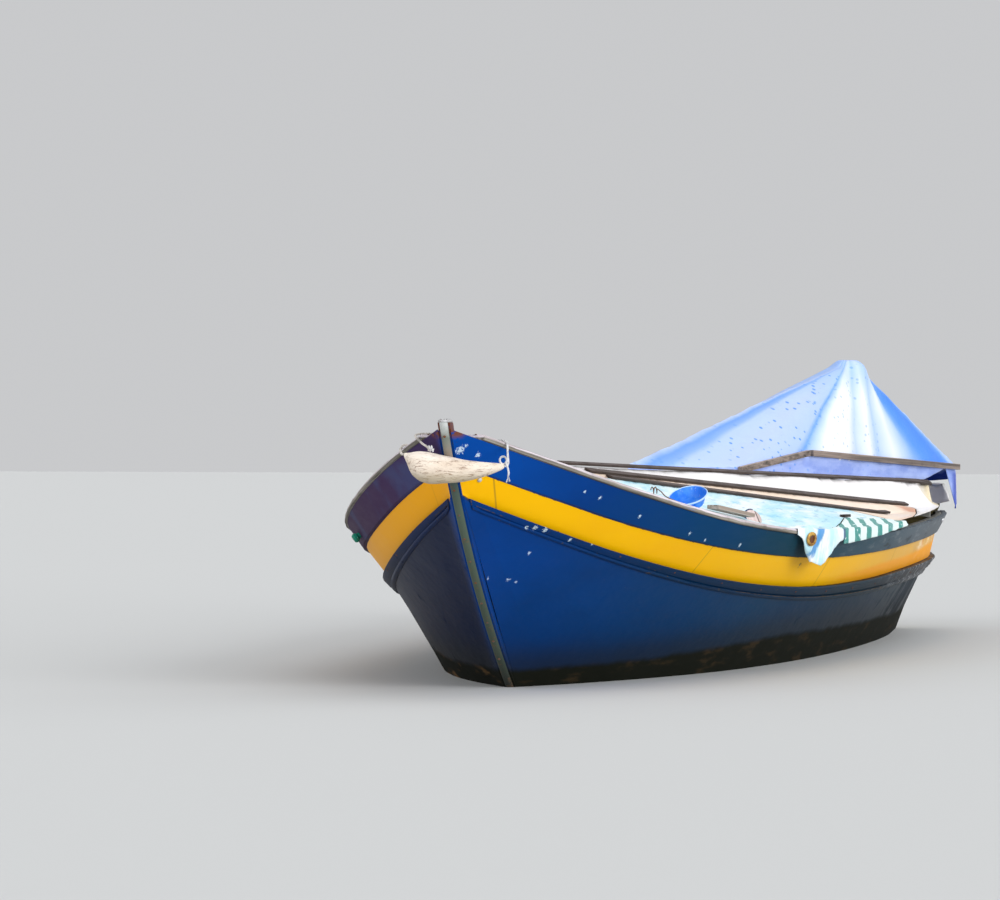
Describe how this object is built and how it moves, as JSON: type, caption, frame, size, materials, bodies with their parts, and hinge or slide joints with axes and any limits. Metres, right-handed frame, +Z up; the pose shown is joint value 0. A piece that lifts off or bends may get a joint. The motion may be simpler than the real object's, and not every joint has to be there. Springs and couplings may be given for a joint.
{
  "type": "covered wooden work boat",
  "caption": "Flat-bottomed open wooden work boat with raked stem and transom, its hold under sheets held by battens, a tarpaulin tent over the stern and a fender at the bow.",
  "frame": {"origin": "centre of the boat's outline seen from above, on the flat underside of its bottom", "axes": "+X towards the bow, +Y to port, +Z up, square to the flat of the bottom; the waterline is the level z = 0.2 m"},
  "size_m": [7.097, 2.2536, 1.534],
  "materials": {
    "banded_cloth": "woven cloth in green and white bands",
    "bare_wood": "varnish worn off, olive",
    "batten_wood": "bare, weathered",
    "blue_hull": "blue boat paint, fouled at the waterline",
    "blue_strake": "blue boat paint, scratched",
    "blue_tarp": "coated tarpaulin, slight sheen",
    "boards": "bare, dirty",
    "cyan_sheet": "coated sheet, slight sheen",
    "fender_skin": "off-white vinyl, scuffed",
    "grey_rail": "weathered grey wood",
    "grey_stem": "weathered wood with green-grey paint",
    "inside_wood": "dull grey-brown paint",
    "rope": "laid rope, weathered",
    "salmon_sheet": "coated sheet, matt",
    "wale_paint": "blue boat paint, worn to dark wood aft",
    "white_sheet": "coated sheet, matt",
    "yellow_strake": "yellow boat paint, worn aft"
  },
  "bodies": {
    "root": {"batten_crest_port": "batten_wood", "batten_crest_starboard": "batten_wood", "batten_lower": "batten_wood", "batten_middle": "batten_wood", "bottom_planking": "blue_hull", "cap_rail_port": "grey_rail", "cap_rail_starboard": "grey_rail", "cloth_banded": "banded_cloth", "cover_bearer_1": "inside_wood", "cover_bearer_2": "inside_wood", "cover_bearer_3": "inside_wood", "cover_cyan": "cyan_sheet", "cover_flap": "cyan_sheet", "cover_salmon": "salmon_sheet", "cover_white": "white_sheet", "deck_beam": "inside_wood", "fender": "fender_skin", "fender_line_port": "rope", "fender_line_starboard": "rope", "floorboard_middle": "boards", "floorboard_port": "boards", "floorboard_starboard": "boards", "foredeck": "boards", "frame_1": "inside_wood", "frame_2": "inside_wood", "frame_3": "inside_wood", "frame_4": "inside_wood", "frame_5": "inside_wood", "frame_6": "inside_wood", "frame_7": "inside_wood", "inwale_port": "inside_wood", "inwale_starboard": "inside_wood", "peg": "inside_wood", "quarter_strap_port": "grey_rail", "quarter_strap_starboard": "grey_rail", "riser_port": "inside_wood", "riser_starboard": "inside_wood", "side_plank_port": "blue_hull", "side_plank_starboard": "blue_hull", "stem_band": "grey_stem", "stem_head": "grey_stem", "stem_post": "bare_wood", "stern_bench": "boards", "tent": "blue_tarp", "tent_batten_aft": "batten_wood", "tent_batten_fore": "batten_wood", "tent_pole": "inside_wood", "thwart_aft": "boards", "thwart_fore": "boards", "transom": "bare_wood", "upper_strake_port": "blue_strake", "upper_strake_starboard": "blue_strake", "wale_port": "wale_paint", "wale_starboard": "wale_paint", "yellow_strake_port": "yellow_strake", "yellow_strake_starboard": "yellow_strake"}
  },
  "joints": []
}
